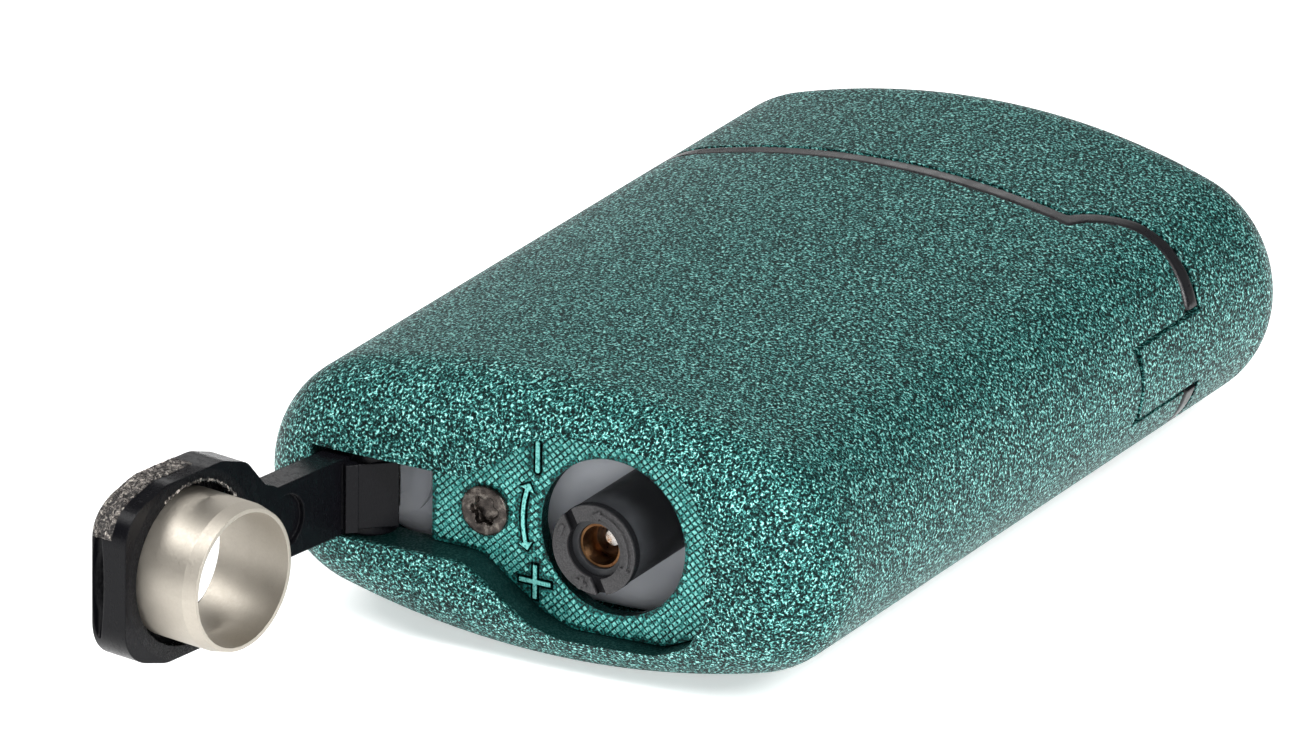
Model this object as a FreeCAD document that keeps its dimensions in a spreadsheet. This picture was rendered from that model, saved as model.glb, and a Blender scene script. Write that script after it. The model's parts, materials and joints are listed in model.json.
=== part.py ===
import FreeCAD, Part
import math
import os

import Sketcher

# Refillable torch lighter with a fold-out cigar punch in its base, lying on its back.
# +Z is up, out of the front wide face. +Y runs from the base to the lid. +X is the hinge side.
# Pieces are drawn in body coordinates: x from the middle of the width, y from the flat of the
# base, z from the middle of the thickness. One shift then moves all of them to the part's frame.

doc = FreeCAD.newDocument("torch_lighter")
sheet = doc.addObject("Spreadsheet::Sheet", "Sizes")

SIZES = [
    # where the part's frame has its origin, in body coordinates
    ("origin_x", 0.0), ("origin_y", 21.4415),
    # oval body
    ("half_width", 20.0), ("half_thick", 9.2), ("crown_radius", 55.7), ("wall", 1.2),
    ("total_length", 63.3), ("base_round", 4.9), ("lid_round", 5.0),
    ("lid_end_radius", 132.0), ("lid_apex_x", -1.7),
    ("floor_y", 4.8), ("seam_y", 45.2), ("lid_y", 46.8),
    # lid hinge and thumb tongue
    ("hinge_x", 16.6), ("hinge_y", 44.4), ("knuckle_radius", 4.25), ("lid_arc_radius", 5.75),
    ("lug_half", 2.3), ("lug_slot_half", 2.6), ("lug_slot_radius", 4.85), ("lug_radius", 2.2),
    ("hinge_pin_radius", 1.0), ("hinge_pin_half", 4.4), ("running_gap", 0.05),
    ("tongue_y", 41.35), ("tongue_slot_y", 41.1), ("tongue_inner_x", 17.6), ("lug_top_y", 51.0),
    # black bezel between body and lid
    ("bezel_inset", 0.0), ("bezel_top_y", 46.65), ("bezel_arc_radius", 5.6),
    ("bezel_edge_round", 0.3), ("bezel_slot_x", 12.1),
    # recess in the base, with the slot that the punch arm swings through
    ("plate_y", 2.4), ("plate_thick", 0.8), ("plate_gap", 0.08), ("seat_y", 3.2),
    ("slot_left_x", 15.34), ("slot_half", 2.8), ("slot_end_x", 7.9), ("deep_slot_half", 3.9), 
    ("plate_left_x", 8.14), ("neck_x", 4.7), ("flare_x", 0.3), ("flare_z", 5.85),
    ("top_left_x", 1.8), ("top_left_z", 6.6),
    ("top_right_x", 8.2), ("top_right_z", 6.4), ("cut_x", 10.9), ("cut_z", 5.2),
    ("end_x", 12.2), ("end_z", 2.9), ("recess_round", 2.2),
    # the plate's hole, its screw and the flame adjuster inside the hole
    ("hole_x", 4.5), ("hole_radius", 5.0), ("floor_hole_radius", 6.0),
    ("screw_x", 4.35), ("screw_head_radius", 1.58), ("screw_head_top_y", 2.1),
    ("screw_shank_radius", 0.8), ("screw_end_y", 4.7),
    ("socket_radius", 0.95), ("socket_depth", 0.55),
    ("ring_radius", 2.85), ("ring_hole_radius", 1.85), ("ring_front_y", 0.0),
    ("ring_thick", 0.7), ("sleeve_radius", 2.8), ("sleeve_bore_radius", 1.45),
    ("sleeve_length", 8.4),
    ("key_width", 0.7), ("key_offset", 0.7), ("key_depth", 0.45), ("key_angle", 116.5),
    # refill valve on the same axis
    ("valve_radius", 1.41), ("valve_front_y", 0.9), ("valve_length", 11.4),
    ("valve_mouth_radius", 1.25), ("valve_mouth_depth", 1.4),
    ("chamber_radius", 1.05), ("chamber_depth", 4.3), ("valve_bore_radius", 0.6),
    ("stem_radius", 0.5), ("stem_tip_y", 2.4), ("stem_length", 9.4),
    ("collar_radius", 0.95), ("collar_y", 3.6), ("collar_thick", 0.5),
    ("spring_outer_radius", 0.95), ("spring_inner_radius", 0.7), ("spring_length", 1.0),
    # punch arm: drawn folded, with its pivot at the origin, along +X with the tube along +Y
    ("pivot_x", 12.42), ("pivot_y", 2.3), ("open_angle", 99.0),
    ("arm_level", 0.0), ("barrel_radius", 1.7), ("arm_half", 2.45), ("arm_thick", 1.9),
    ("head_thick", 2.85),
    ("punch_pin_radius", 0.75), ("punch_pin_half", 5.0), ("pivot_hole_radius", 0.8),
    ("head_neck_x", 8.3), ("head_bend_x", 9.9), ("head_bend_z", 2.9),
    ("head_flare_x", 11.7), ("head_flare_z", 5.0),
    ("head_top_left_x", 14.0), ("head_top_z", 5.75), ("head_top_right_x", 19.2),
    ("head_cut_x", 21.6), ("head_cut_z", 5.0), ("head_end_x", 23.0), ("head_end_z", 3.9),
    ("head_round", 2.5), ("neck_round", 1.5), ("head_bevel", 0.25),
    ("tube_x", 16.92), ("tube_rim_radius", 4.45), ("tube_bevel_y", 3.2),
    ("tube_radius", 4.65), ("tube_bore_radius", 4.2), ("tube_reach", 4.1),
    ("tube_back", 1.3), ("hollow_x", 14.9), ("hollow_radius", 4.9),
    ("boss_gap_radius", 5.1), ("boss_gap_depth", 0.8),
    ("dimple_x", 8.07), ("dimple_radius", 1.75), ("dimple_depth", 0.35),
    ("root_half", 2.1), ("barrel_half", 2.65), ("root_step_x", 2.75), ("root_step_y", 0.22),
    ("root_peak_x", 0.13), ("root_peak_y", 2.34), ("root_back_x", 1.2), ("root_back_y", 1.2),
    ("rib_angle", 51.0), ("rib_reach", 2.2), ("rib_start", 2.0), ("rib_wide", 0.8),
    ("rib_half", 2.2),
    ("nail_long", 3.7), ("nail_wide", 0.45), ("nail_deep", 0.6), ("nail_y", 2.15),
    ("leaf_x", 15.34), ("leaf_length", 3.4), ("leaf_y", 4.75),
    ("leaf_thick", 0.3), ("leaf_half", 2.2),
    # fuel tank and inner frame
    ("tank_inset", 1.3), ("tank_y", 9.2), ("tank_length", 18.3), ("tank_wall", 1.1),
    ("tank_foot_round", 1.2), ("boss_x", 14.65), ("boss_z", 1.83), ("boss_y", 8.7),
    ("boss_radius", 2.77), ("dish_radius", 1.35), ("dish_depth", 0.15),
    ("tank_cap_y", 27.5), ("tank_cap_thick", 1.6), ("tank_cap_inset", 1.3),
    ("frame_inset", 1.25), ("frame_y", 29.1), ("frame_top_y", 45.2),
    ("frame_hinge_radius", 5.3), ("frame_slot_half", 3.0),
    ("piezo_left_x", 1.5), ("piezo_right_x", 11.4), ("piezo_y", 38.1), ("piezo_high", 5.0),
    ("piezo_half", 2.6), ("piezo_bore_radius", 1.5), ("piezo_bore_depth", 7.0),
    ("plunger_y", 40.7), ("plunger_radius", 1.3),
    ("plunger_left_x", 8.4), ("plunger_right_x", 17.3),
    ("coil_radius", 1.2), ("coil_bore_radius", 0.8), ("coil_left_x", 4.6), ("coil_length", 3.6),
    # burner: a guard round three jets in a row
    ("guard_x", 9.4), ("guard_y", 43.2), ("guard_top_y", 51.0), ("guard_half", 3.3),
    ("guard_length", 9.6), ("guard_wall", 0.5), ("guard_gap", 0.1),
    ("block_y", 36.2), ("block_high", 6.9), ("block_half_x", 7.6), ("block_half_z", 3.2),
    ("jet_pitch", 3.6), ("jet_radius", 1.1), ("jet_y", 43.1), ("jet_top_y", 49.6),
    ("jet_bore_radius", 0.4), ("jet_bore_depth", 3.0),
    ("gas_radius", 0.9), ("gas_y", 29.1), ("gas_length", 7.1),
    ("wire_radius", 0.3), ("wire_offset", 1.8), ("wire_z", 2.0), ("wire_top_y", 49.4),
]

P = {}
for row, (name, value) in enumerate(SIZES, start=1):
    sheet.set("A%d" % row, name)
    sheet.set("B%d" % row, str(value))
    sheet.setAlias("B%d" % row, name)
    P[name] = value
doc.recompute()

SHIFT = FreeCAD.Vector(-P["origin_x"], -P["origin_y"], P["half_thick"])
ALONG_Y = FreeCAD.Rotation(FreeCAD.Vector(1, 0, 0), -90)
ALONG_X = FreeCAD.Rotation(FreeCAD.Vector(0, 1, 0), 90)
NO_TURN = FreeCAD.Rotation()
nodes = []


def vec(x, y, z):
    return FreeCAD.Vector(x, y, z)


def place(x=0.0, y=0.0, z=0.0, turn=NO_TURN):
    """Placement in the part's frame of a point given in body coordinates."""
    return FreeCAD.Placement(vec(x, y, z) + SHIFT, turn)


def arm_place(x=0.0, y=0.0, z=0.0, turn=NO_TURN):
    """Placement in the part's frame of a point given on the folded arm, from its pivot."""
    swing = FreeCAD.Rotation(vec(0, 0, 1), -P["open_angle"])
    at_pivot = place(-P["pivot_x"], P["pivot_y"], 0.0, swing)
    return at_pivot.multiply(FreeCAD.Placement(vec(x, y, z), turn))


def keep(obj, label):
    obj.Label = label
    nodes.append(obj)
    return obj


def bind(obj, **sizes):
    """Ties properties to cells of the sheet: a name, or an expression of names."""
    for prop, text in sizes.items():
        words = [("Sizes." + w) if w in P else w for w in text.split()]
        obj.setExpression(prop, " ".join(words))
    return obj


def term(text):
    """A signed cell name as its number and its expression."""
    if text.startswith("-"):
        return -P[text[1:]], "-Sizes." + text[1:]
    return P[text], "Sizes." + text


# ---------- helpers for sketched bodies ----------

def new_body(label, placement):
    body = doc.addObject("PartDesign::Body", label)
    keep(body, label)
    body.Placement = placement
    return body


def new_sketch(body, plane, name, offset=None):
    sketch = body.newObject("Sketcher::SketchObject", name)
    support = [f for f in body.Origin.OriginFeatures if f.Role == plane][0]
    sketch.AttachmentSupport = [(support, "")]
    sketch.MapMode = "FlatFace"
    if offset:
        sketch.setExpression("AttachmentOffset.Base.z", term(offset)[1])
    return sketch


def polygon(sketch, corners):
    """Closed outline through corners given as pairs of signed cell names."""
    numbers = [vec(term(a)[0], term(b)[0], 0) for a, b in corners]
    first = sketch.GeometryCount
    count = len(corners)
    for i in range(count):
        sketch.addGeometry(Part.LineSegment(numbers[i], numbers[(i + 1) % count]))
    for i in range(count):
        nxt = first + (i + 1) % count
        sketch.addConstraint(Sketcher.Constraint("Coincident", first + i, 2, nxt, 1))
    for i, corner in enumerate(corners):
        for kind, text in zip(("DistanceX", "DistanceY"), corner):
            number, expression = term(text)
            datum = Sketcher.Constraint(kind, -1, 1, first + i, 1, number)
            index = sketch.addConstraint(datum)
            sketch.setExpression("Constraints[%d]" % index, expression)


def circle(sketch, radius, x=None):
    """Circle on the sketch's horizontal axis, at a signed cell name or at the origin."""
    at = term(x)[0] if x else 0.0
    index = sketch.addGeometry(Part.Circle(vec(at, 0, 0), vec(0, 0, 1), P[radius]))
    size = sketch.addConstraint(Sketcher.Constraint("Radius", index, P[radius]))
    sketch.setExpression("Constraints[%d]" % size, "Sizes." + radius)
    if x:
        sketch.addConstraint(Sketcher.Constraint("PointOnObject", index, 3, -1))
        where = sketch.addConstraint(Sketcher.Constraint("DistanceX", -1, 1, index, 3, at))
        sketch.setExpression("Constraints[%d]" % where, term(x)[1])
    else:
        sketch.addConstraint(Sketcher.Constraint("Coincident", index, 3, -1, 1))


def pad(body, sketch, length, name, reverse=False, middle=False):
    feature = body.newObject("PartDesign::Pad", name)
    feature.Profile = sketch
    feature.setExpression("Length", length)
    feature.Reversed = reverse
    feature.Midplane = middle
    doc.recompute()
    return feature


def pocket(body, sketch, length, name, reverse=False, middle=False):
    before = body.Shape.Volume
    feature = body.newObject("PartDesign::Pocket", name)
    feature.Profile = sketch
    feature.setExpression("Length", length)
    feature.Reversed = reverse
    feature.Midplane = middle
    doc.recompute()
    assert body.Shape.Volume < before - 1e-4, name + " cuts nothing"
    return feature


def ring(label, outer, bore, length, placement):
    """Tube along the placement's +Y."""
    body = new_body(label, placement)
    sketch = new_sketch(body, "XZ_Plane", label + "_section")
    circle(sketch, outer)
    if bore:
        circle(sketch, bore)
    pad(body, sketch, "Sizes." + length, label + "_pad", reverse=True)
    return body


# ---------- helpers for primitives and booleans ----------

def cylinder(name, placement, **sizes):
    obj = doc.addObject("Part::Cylinder", name)
    obj.Placement = placement
    return bind(obj, **sizes)


def box(name, placement, **sizes):
    obj = doc.addObject("Part::Box", name)
    obj.Placement = placement
    return bind(obj, **sizes)


def cut(name, base, tools):
    """base less every tool."""
    result = base
    for i, tool in enumerate(tools):
        step = doc.addObject("Part::Cut", "%s_%d" % (name, i + 1))
        step.Base = result
        step.Tool = tool
        result = step
    return result


# ---------- the oval section and its prisms ----------

def oval_face(inset, y):
    """Oval with two crowned wide faces and two round sides, in the plane at y."""
    sink = P["crown_radius"] - P["half_thick"]
    half = P["half_width"]
    side = (P["crown_radius"] ** 2 - sink ** 2 - half ** 2) / (2 * (P["crown_radius"] - half))
    side_x = half - side
    reach = math.hypot(side_x, sink)
    crown = P["crown_radius"] - inset
    tx = crown * side_x / reach
    tz = crown * sink / reach - sink
    top = P["half_thick"] - inset
    end = half - inset
    arcs = [
        Part.Arc(vec(-tx, y, tz), vec(0, y, top), vec(tx, y, tz)),
        Part.Arc(vec(tx, y, tz), vec(end, y, 0), vec(tx, y, -tz)),
        Part.Arc(vec(tx, y, -tz), vec(0, y, -top), vec(-tx, y, -tz)),
        Part.Arc(vec(-tx, y, -tz), vec(-end, y, 0), vec(-tx, y, tz)),
    ]
    return Part.Face(Part.Wire([a.toShape() for a in arcs]))


def oval_prism(inset, y_low, y_high):
    return oval_face(inset, y_low).extrude(vec(0, y_high - y_low, 0))


def hinge_disc(radius, half_z):
    """Disc about the lid's hinge axis."""
    at = vec(P["hinge_x"], P["hinge_y"], -half_z)
    return Part.makeCylinder(radius, 2 * half_z, at, vec(0, 0, 1))


def block(x_low, x_high, y_low, y_high, half_z):
    at = vec(x_low, y_low, -half_z)
    return Part.makeBox(x_high - x_low, y_high - y_low, 2 * half_z, at)


def recess_prism(grow, y_low, y_high, left):
    """The recess outline, with its narrow slot out to x = left, between two depths."""
    upper = [
        (-left, P["slot_half"] + grow),
        (-P["neck_x"], P["slot_half"] + grow),
        (-P["flare_x"], P["flare_z"] + grow),
        (P["top_left_x"], P["top_left_z"] + grow),
        (P["top_right_x"], P["top_right_z"] + grow),
        (P["cut_x"] + grow, P["cut_z"] + grow),
        (P["end_x"] + grow, P["end_z"]),
    ]
    outline = upper + [(x, -z) for x, z in reversed(upper)]
    corners = [vec(x, y_low, z) for x, z in outline]
    face = Part.Face(Part.makePolygon(corners + corners[:1]))
    solid = face.extrude(vec(0, y_high - y_low, 0))
    inside = -left + 1.0
    upright = []
    for edge in solid.Edges:
        a, b = edge.Vertexes[0].Point, edge.Vertexes[1].Point
        if abs(a.x - b.x) < 1e-6 and abs(a.z - b.z) < 1e-6 and a.x > inside:
            upright.append(edge)
    return solid.makeFillet(P["recess_round"], upright)


def add_solid(label, shape):
    """Keeps a shape made in body coordinates as one solid."""
    assert len(shape.Solids) == 1, label + " is not one solid"
    obj = doc.addObject("Part::Feature", label)
    obj.Shape = shape.Solids[0]
    obj.Placement = place()
    return keep(obj, label)


# ---------- body shell ----------

BIG = 40.0
outer = oval_prism(0.0, 0.0, P["seam_y"] + P["knuckle_radius"] + 1.0)
base_edges = [e for e in outer.Edges if abs(e.BoundBox.YMax) < 1e-6]
outer = outer.makeFillet(P["base_round"], base_edges)
knuckles = outer.common(hinge_disc(P["knuckle_radius"], BIG))
below_seam = block(-BIG, BIG, -1.0, P["seam_y"], BIG)
cavity = oval_prism(P["wall"], P["floor_y"], P["total_length"])
cavity_edges = [e for e in cavity.Edges if abs(e.BoundBox.YMax - P["floor_y"]) < 1e-6]
cavity = cavity.makeFillet(P["base_round"] - P["wall"] - 1.2, cavity_edges)
shell = outer.common(below_seam).cut(cavity).fuse(knuckles)
shell = shell.cut(hinge_disc(P["lug_slot_radius"], P["lug_slot_half"]))
tongue_slot = block(P["hinge_x"], BIG, P["tongue_slot_y"], P["seam_y"] + 9.0, P["lug_slot_half"])
shell = shell.cut(tongue_slot)
shell = shell.cut(hinge_disc(P["hinge_pin_radius"], P["hinge_pin_half"]))
shell = shell.cut(recess_prism(0.0, -1.0, P["seat_y"], P["slot_left_x"]))
arm_slot = block(-P["slot_left_x"], -P["slot_end_x"], P["seat_y"], P["tank_y"],
                 P["deep_slot_half"])
shell = shell.cut(arm_slot)
FLOOR_HOLES = (
    (P["hole_x"], P["floor_hole_radius"]),
    (-P["screw_x"], P["screw_shank_radius"]),
)
for x, radius in FLOOR_HOLES:
    shell = shell.cut(Part.makeCylinder(radius, 6.0, vec(x, 0, 0), vec(0, 1, 0)))
punch_pin_at = vec(-P["pivot_x"], P["pivot_y"], -P["punch_pin_half"])
pin_hole = Part.makeCylinder(P["punch_pin_radius"], 2 * P["punch_pin_half"], punch_pin_at)
shell = shell.cut(pin_hole)
body_shell = add_solid("body_shell", shell.removeSplitter())

# ---------- lid shell, with its hinge lug and thumb tongue ----------

def lid_blank(inset, y_low):
    """Oval prism closed by a large arc, with a round edge."""
    prism = oval_prism(inset, y_low, P["total_length"] + 5.0)
    radius = P["lid_end_radius"] - inset
    at = vec(P["lid_apex_x"], P["total_length"] - P["lid_end_radius"], -BIG)
    blank = prism.common(Part.makeCylinder(radius, 2 * BIG, at))
    end_edges = [e for e in blank.Edges if e.BoundBox.YMin > P["lid_y"] + 6.0]
    return blank.makeFillet(P["lid_round"] - inset, end_edges)


start_y = 30.0
above_seam = block(-BIG, BIG, P["lid_y"], 90.0, BIG)
lid_outer = lid_blank(0.0, start_y)
lid_skin = lid_outer.common(above_seam).cut(lid_blank(P["wall"], start_y))
lid_skin = lid_skin.cut(hinge_disc(P["lid_arc_radius"], BIG))
tongue = block(P["tongue_inner_x"], BIG, P["tongue_y"], P["lug_top_y"], P["lug_half"])
web = block(P["hinge_x"], BIG, P["hinge_y"], P["lug_top_y"], P["lug_half"])
lug = hinge_disc(P["lug_radius"], P["lug_half"]).fuse(tongue).fuse(web)
lug = lug.common(lid_outer)
lid = lid_skin.fuse(lug)
lid = lid.cut(hinge_disc(P["hinge_pin_radius"] + P["running_gap"], BIG))
lid_shell = add_solid("lid_shell", lid.removeSplitter())

# ---------- black bezel that shows as a bead in the seam ----------

bezel_outer = oval_prism(P["bezel_inset"], P["seam_y"], P["seam_y"] + 9.0)
flat_part = block(-BIG, P["hinge_x"], P["seam_y"], P["bezel_top_y"], BIG)
ring_part = hinge_disc(P["bezel_arc_radius"], BIG)
bezel = bezel_outer.common(flat_part.fuse(ring_part))
bezel = bezel.cut(hinge_disc(P["knuckle_radius"], BIG))
bezel = bezel.cut(block(P["bezel_slot_x"], BIG, 0.0, 90.0, P["lug_slot_half"] + 0.1))
guard_left = -P["guard_x"] - P["guard_length"] / 2 - P["guard_half"] - P["guard_gap"]
guard_right = -P["guard_x"] + P["guard_length"] / 2 + P["guard_half"] + P["guard_gap"]
guard_hole_half = P["guard_half"] + P["guard_gap"]
burner_hole = block(guard_left + guard_hole_half, guard_right - guard_hole_half,
                    0.0, 90.0, guard_hole_half)
for x in (guard_left + guard_hole_half, guard_right - guard_hole_half):
    end = Part.makeCylinder(guard_hole_half, 90.0, vec(x, 0, 0), vec(0, 1, 0))
    burner_hole = burner_hole.fuse(end)
bezel = bezel.cut(burner_hole)
bezel = max(bezel.Solids, key=lambda s: s.Volume).removeSplitter()
outer_wall = oval_face(P["bezel_inset"], 0.0).OuterWire.extrude(vec(0, P["total_length"], 0))
bead_edges = []
for edge in bezel.Edges:
    middle = edge.valueAt((edge.FirstParameter + edge.LastParameter) / 2)
    reach = math.hypot(middle.x - P["hinge_x"], middle.y - P["hinge_y"])
    on_flat = min(abs(middle.y - P[name]) for name in ("bezel_top_y", "seam_y")) < 1e-4
    on_arc = min(abs(reach - P[name]) for name in ("bezel_arc_radius", "knuckle_radius")) < 1e-4
    if (on_flat or on_arc) and outer_wall.distToShape(Part.Vertex(middle))[0] < 1e-4:
        bead_edges.append(edge)
add_solid("seam_bezel", bezel.makeFillet(P["bezel_edge_round"], bead_edges))

# ---------- base plate ----------

base_plate = doc.addObject("Part::Feature", "base_plate_blank")
base_plate.Shape = recess_prism(-P["plate_gap"], P["plate_y"], P["seat_y"], P["plate_left_x"])
base_plate.Placement = place()
plate_hole = cylinder("plate_hole", place(P["hole_x"], 0, 0, ALONG_Y),
                      Radius="hole_radius", Height="floor_y")
plate_screw_hole = cylinder("plate_screw_hole", place(-P["screw_x"], 0, 0, ALONG_Y),
                            Radius="screw_shank_radius", Height="floor_y")
screw_sink = doc.addObject("Part::Cone", "screw_sink")
screw_sink.Placement = place(-P["screw_x"], P["plate_y"], 0, ALONG_Y)
bind(screw_sink, Radius1="screw_head_radius", Radius2="screw_shank_radius",
     Height="plate_thick * 0.6")
keep(cut("base_plate_cut", base_plate, [plate_hole, plate_screw_hole, screw_sink]), "base_plate")

# ---------- base screw: low head, cone under it, six-lobed socket ----------

screw_head = cylinder("screw_head", place(-P["screw_x"], P["screw_head_top_y"], 0, ALONG_Y),
                      Radius="screw_head_radius", Height="plate_y - screw_head_top_y")
screw_cone = doc.addObject("Part::Cone", "screw_cone")
screw_cone.Placement = place(-P["screw_x"], P["plate_y"], 0, ALONG_Y)
bind(screw_cone, Radius1="screw_head_radius", Radius2="screw_shank_radius",
     Height="plate_thick * 0.6")
screw_shank = cylinder("screw_shank", place(-P["screw_x"], P["plate_y"], 0, ALONG_Y),
                       Radius="screw_shank_radius", Height="screw_end_y - plate_y")
screw_body = doc.addObject("Part::MultiFuse", "screw_body")
screw_body.Shapes = [screw_head, screw_cone, screw_shank]
lobes = [cylinder("socket_core", place(-P["screw_x"], P["screw_head_top_y"] - 0.01, 0, ALONG_Y),
                  Radius="socket_radius * 0.8", Height="socket_depth")]
for i in range(6):
    angle = math.radians(60 * i)
    x = -P["screw_x"] + 0.75 * P["socket_radius"] * math.cos(angle)
    z = 0.75 * P["socket_radius"] * math.sin(angle)
    lobe = cylinder("socket_lobe_%d" % i, place(x, P["screw_head_top_y"] - 0.01, z, ALONG_Y),
                    Radius="socket_radius * 0.3", Height="socket_depth")
    lobes.append(lobe)
socket = doc.addObject("Part::MultiFuse", "socket")
socket.Shapes = lobes
keep(cut("base_screw_cut", screw_body, [socket]), "base_screw")

# ---------- flame adjuster: ring with a key groove, on a long sleeve ----------

adjuster = ring("adjuster_ring", "ring_radius", "ring_hole_radius", "ring_thick",
                place(P["hole_x"], P["ring_front_y"], 0))
key_groove = adjuster.newObject("PartDesign::SubtractiveBox", "key_groove")
bind(key_groove, Length="ring_radius * 3", Width="key_depth * 2", Height="key_width")
key_turn = FreeCAD.Rotation(vec(0, 1, 0), -P["key_angle"])
key_corner = vec(-P["ring_radius"] * 1.5, -P["key_depth"], P["key_offset"] - P["key_width"] / 2)
key_groove.Placement = FreeCAD.Placement(key_turn.multVec(key_corner), key_turn)
doc.recompute()
ring("adjuster_sleeve", "sleeve_radius", "sleeve_bore_radius", "sleeve_length",
     place(P["hole_x"], P["ring_front_y"] + P["ring_thick"], 0))

# ---------- refill valve ----------

valve = ring("refill_valve_body", "valve_radius", "valve_bore_radius", "valve_length",
             place(P["hole_x"], P["valve_front_y"], 0))
for name, radius, depth in (
    ("valve_chamber", "chamber_radius", "chamber_depth"),
    ("valve_mouth", "valve_mouth_radius", "valve_mouth_depth"),
):
    step = new_sketch(valve, "XZ_Plane", name)
    circle(step, radius)
    pocket(valve, step, "Sizes." + depth, name + "_cut")
stem_rod = cylinder("stem_rod", place(P["hole_x"], P["stem_tip_y"], 0, ALONG_Y),
                    Radius="stem_radius", Height="stem_length")
stem_collar = cylinder("stem_collar", place(P["hole_x"], P["collar_y"], 0, ALONG_Y),
                       Radius="collar_radius", Height="collar_thick")
stem = doc.addObject("Part::Fuse", "stem_fuse")
stem.Base = stem_rod
stem.Tool = stem_collar
keep(stem, "refill_stem")
ring("refill_spring", "spring_outer_radius", "spring_inner_radius", "spring_length",
     place(P["hole_x"], P["collar_y"] + P["collar_thick"], 0))

# ---------- punch arm ----------

def corner_x(edge):
    """Where along the arm a corner edge of the head stands, or None for its other edges."""
    a, b = edge.Vertexes[0].Point, edge.Vertexes[-1].Point
    square = abs(a.x - b.x) < 1e-6 and abs(a.z - b.z) < 1e-6
    return a.x if square else None


def neck_corner(edge):
    x = corner_x(edge)
    return x is not None and x < P["head_flare_x"] + 0.1


def end_corner(edge):
    x = corner_x(edge)
    return x is not None and x > P["head_top_left_x"] - 0.1


def outer_rim(edge):
    """True for the edges round the head's outer face."""
    return edge.BoundBox.YMax < -P["head_thick"] + 1e-6


def dress(body, kind, name, wanted, prop, size):
    """Fillet or chamfer on the body's edges that answer to wanted."""
    base = body.Tip
    chosen = ["Edge%d" % (i + 1) for i, e in enumerate(base.Shape.Edges) if wanted(e)]
    feature = body.newObject(kind, name)
    feature.Base = (base, chosen)
    feature.setExpression(prop, "Sizes." + size)
    doc.recompute()
    return feature


arm = new_body("punch_arm", arm_place())
head = new_sketch(arm, "XZ_Plane", "arm_head")
HEAD = [("head_neck_x", "arm_half"), ("head_bend_x", "head_bend_z"),
        ("head_flare_x", "head_flare_z"),
        ("head_top_left_x", "head_top_z"), ("head_top_right_x", "head_top_z"),
        ("head_cut_x", "head_cut_z"), ("head_end_x", "head_end_z")]
polygon(head, HEAD + [(x, "-" + z) for x, z in reversed(HEAD)])
pad(arm, head, "Sizes.head_thick", "arm_head_pad")
dress(arm, "PartDesign::Fillet", "neck_corners", neck_corner, "Radius", "neck_round")
dress(arm, "PartDesign::Fillet", "end_corners", end_corner, "Radius", "head_round")
dress(arm, "PartDesign::Chamfer", "head_rim", outer_rim, "Size", "head_bevel")
beam = new_sketch(arm, "XY_Plane", "arm_beam")
polygon(beam, [("arm_level", "-arm_thick"), ("head_flare_x", "-arm_thick"),
               ("head_flare_x", "arm_level"), ("arm_level", "arm_level")])
pad(arm, beam, "Sizes.arm_half * 2", "arm_beam_pad", middle=True)
barrel = new_sketch(arm, "XY_Plane", "arm_barrel")
circle(barrel, "barrel_radius")
pad(arm, barrel, "Sizes.barrel_half * 2", "arm_barrel_pad", middle=True)
root = new_sketch(arm, "XY_Plane", "arm_root")
polygon(root, [("-root_back_x", "arm_level"), ("root_step_x", "arm_level"),
               ("root_step_x", "root_step_y"), ("root_peak_x", "root_peak_y"),
               ("-root_back_x", "root_back_y")])
pad(arm, root, "Sizes.root_half * 2", "arm_root_pad", middle=True)
for name, radius, depth in (
    ("tube_seat", "tube_radius", "Sizes.head_thick + 1"),
    ("tube_gap", "boss_gap_radius", "Sizes.boss_gap_depth"),
):
    hole = new_sketch(arm, "XZ_Plane", name)
    circle(hole, radius, "tube_x")
    pocket(arm, hole, depth, name + "_cut", reverse=True)
hollow = new_sketch(arm, "XZ_Plane", "head_hollow", "head_thick")
circle(hollow, "hollow_radius", "hollow_x")
pocket(arm, hollow, "Sizes.head_thick - Sizes.tube_back", "head_hollow_cut")
pivot_hole = new_sketch(arm, "XY_Plane", "pivot_hole")
circle(pivot_hole, "pivot_hole_radius")
pocket(arm, pivot_hole, "Sizes.arm_half * 3", "pivot_hole_cut", middle=True)
dimple = new_sketch(arm, "XZ_Plane", "screw_dimple")
circle(dimple, "dimple_radius", "dimple_x")
pocket(arm, dimple, "Sizes.dimple_depth", "screw_dimple_cut", reverse=True)
nail = arm.newObject("PartDesign::SubtractiveEllipsoid", "nail_groove")
bind(nail, Radius1="nail_wide", Radius2="nail_deep", Radius3="nail_long")
nail.Placement = FreeCAD.Placement(vec(P["head_end_x"], -P["nail_y"], 0), ALONG_Y)
rib = arm.newObject("PartDesign::AdditiveBox", "root_rib")
bind(rib, Length="rib_wide", Width="rib_wide", Height="rib_half * 2")
rib_turn = FreeCAD.Rotation(vec(0, 0, 1), P["rib_angle"])
rib_corner = vec(P["rib_reach"] - P["rib_wide"], -P["rib_start"], -P["rib_half"])
rib.Placement = FreeCAD.Placement(rib_turn.multVec(rib_corner), rib_turn)
doc.recompute()

# ---------- punch tube: open right through, bevelled to a sharp rim ----------

tube = new_body("punch_tube", arm_place(P["tube_x"]))
tube_half = new_sketch(tube, "XY_Plane", "tube_profile")
TUBE = [("tube_bore_radius", "-tube_back"), ("tube_radius", "-tube_back"),
        ("tube_radius", "tube_bevel_y"), ("tube_rim_radius", "tube_reach"),
        ("tube_bore_radius", "tube_reach")]
polygon(tube_half, TUBE)
tube_turn = tube.newObject("PartDesign::Revolution", "tube_turn")
tube_turn.Profile = tube_half
tube_turn.ReferenceAxis = (tube_half, ["V_Axis"])
tube_turn.Angle = 360.0
doc.recompute()

# ---------- pins and the detent leaf ----------

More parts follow.
